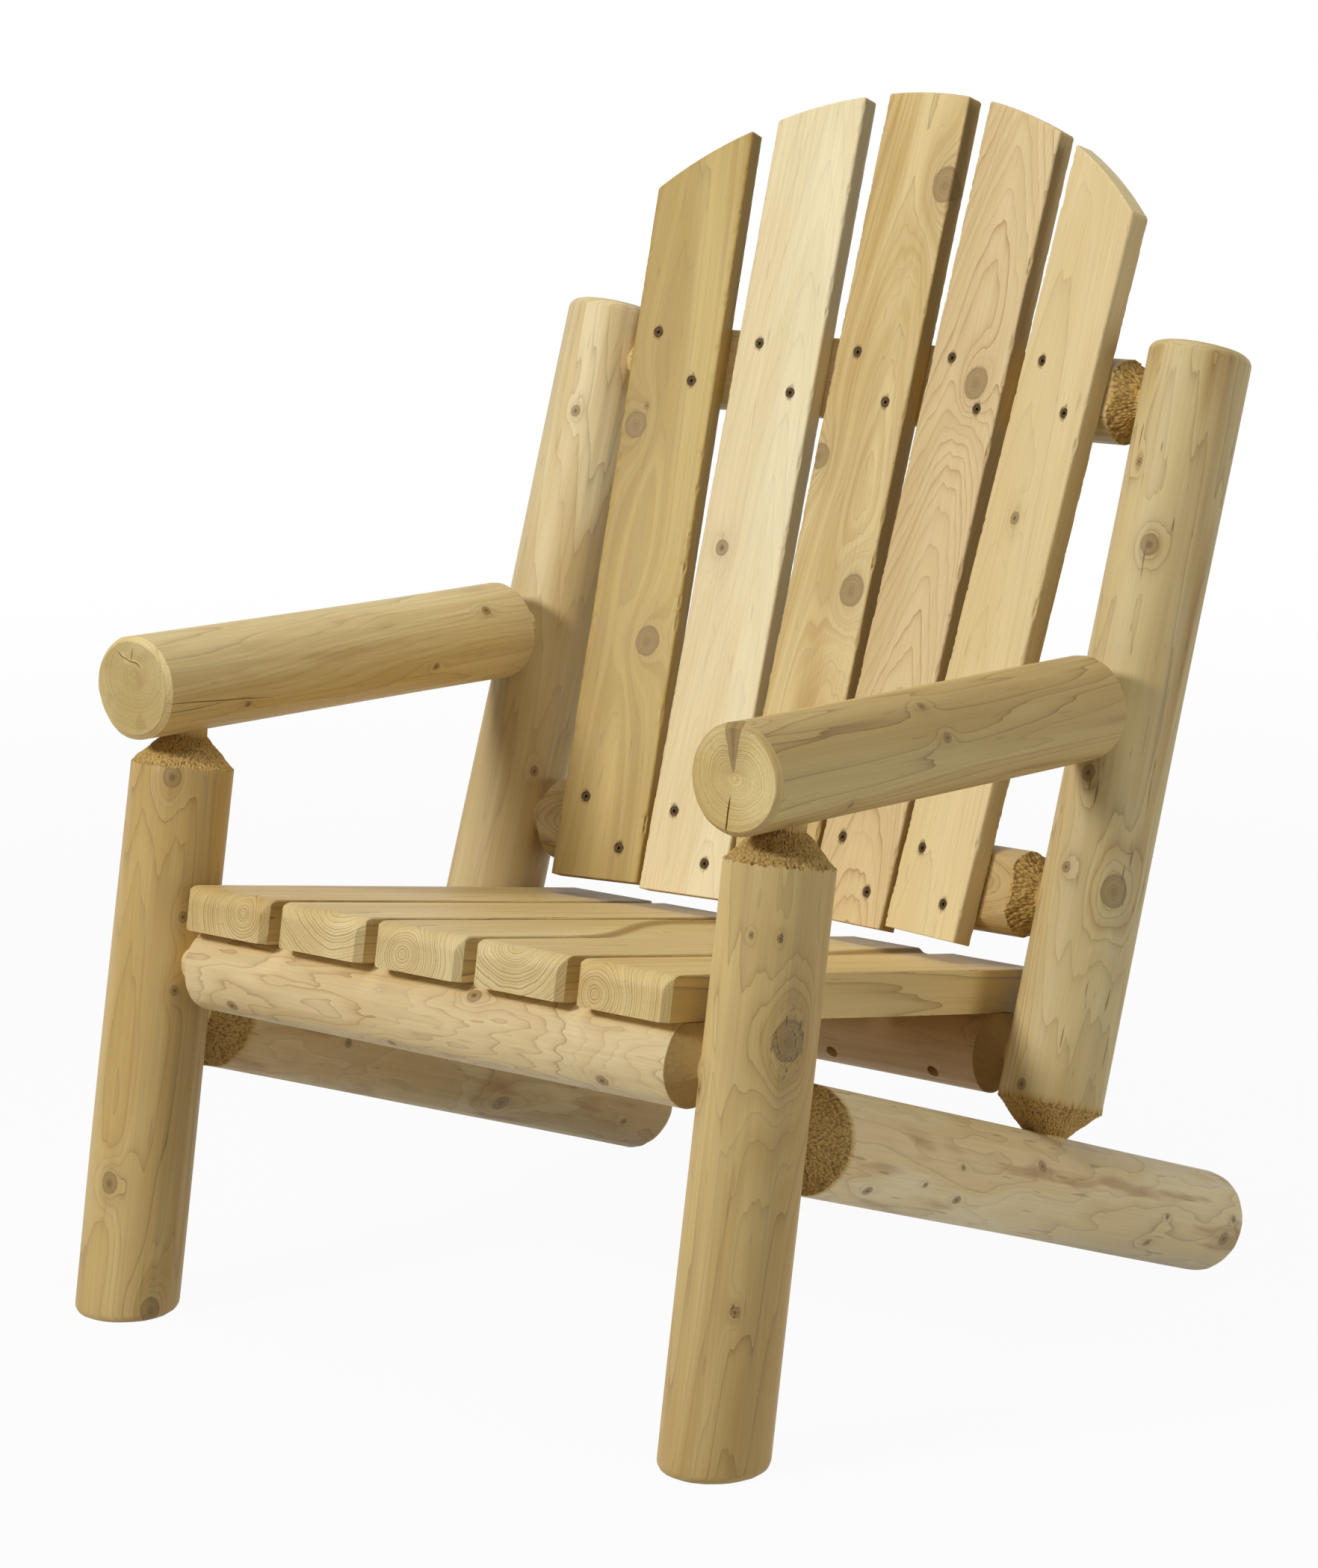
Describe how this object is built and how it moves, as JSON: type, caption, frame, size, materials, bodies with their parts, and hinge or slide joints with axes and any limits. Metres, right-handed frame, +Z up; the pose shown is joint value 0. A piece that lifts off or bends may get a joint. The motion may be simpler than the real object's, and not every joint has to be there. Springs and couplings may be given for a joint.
{
  "type": "log armchair",
  "caption": "Rustic peeled-log armchair with leaning legs, round log arms, a sloping slatted seat and a tall fanned slat back with an arched top.",
  "frame": {"origin": "on the floor, midway between the left and right feet and between the foremost and rearmost points", "axes": "+Z up, -Y the way the chair faces, +X towards the sitter's left"},
  "size_m": [0.781, 0.8264, 1.0875],
  "materials": {
    "peeled_log": "peeled cedar log, planed smooth, bare",
    "seat_board": "planed cedar board, bare",
    "back_board": "planed cedar board, bare",
    "screw": "zinc plated steel, dulled"
  },
  "bodies": {
    "root": {"front_leg_left": "peeled_log", "front_leg_right": "peeled_log", "arm_left": "peeled_log", "arm_right": "peeled_log", "side_rail_left": "peeled_log", "side_rail_right": "peeled_log", "rear_post_left": "peeled_log", "rear_post_right": "peeled_log", "front_seat_rail": "peeled_log", "rear_seat_rail": "peeled_log", "upper_back_rail": "peeled_log", "lower_back_rail": "peeled_log", "seat_slat_1": "seat_board", "seat_slat_2": "seat_board", "seat_slat_3": "seat_board", "seat_slat_4": "seat_board", "seat_slat_5": "seat_board", "back_slat_1": "back_board", "back_slat_2": "back_board", "back_slat_3": "back_board", "back_slat_4": "back_board", "back_slat_5": "back_board", "back_screws_upper": "screw", "back_screws_lower": "screw", "seat_screws_front": "screw", "seat_screws_rear": "screw"}
  },
  "joints": []
}
